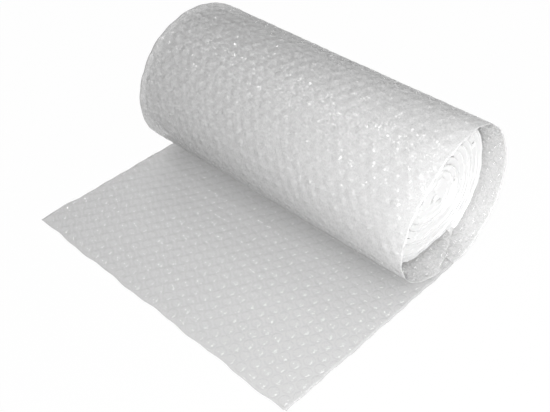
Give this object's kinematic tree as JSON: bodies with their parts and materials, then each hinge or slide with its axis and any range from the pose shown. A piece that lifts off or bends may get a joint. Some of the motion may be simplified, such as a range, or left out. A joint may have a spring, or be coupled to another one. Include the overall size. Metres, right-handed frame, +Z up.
{
  "type": "bubble wrap roll",
  "caption": "Soft coreless roll of clear bubble film lying on its side, with its free end rolled out flat in front of it, bubbles up.",
  "frame": {"origin": "on the underside of the sheet, under the middle of the roll, half way along its width", "axes": "+X along the roll towards the end where the outer turn stands proud, -Y towards the front edge of the flap, +Z up"},
  "size_m": [0.3, 0.2648, 0.1323],
  "materials": {
    "film": "clear glossy polythene film, hazy white where many layers lie behind one another"
  },
  "bodies": {
    "root": {"bubble_wrap": "film"}
  },
  "joints": []
}
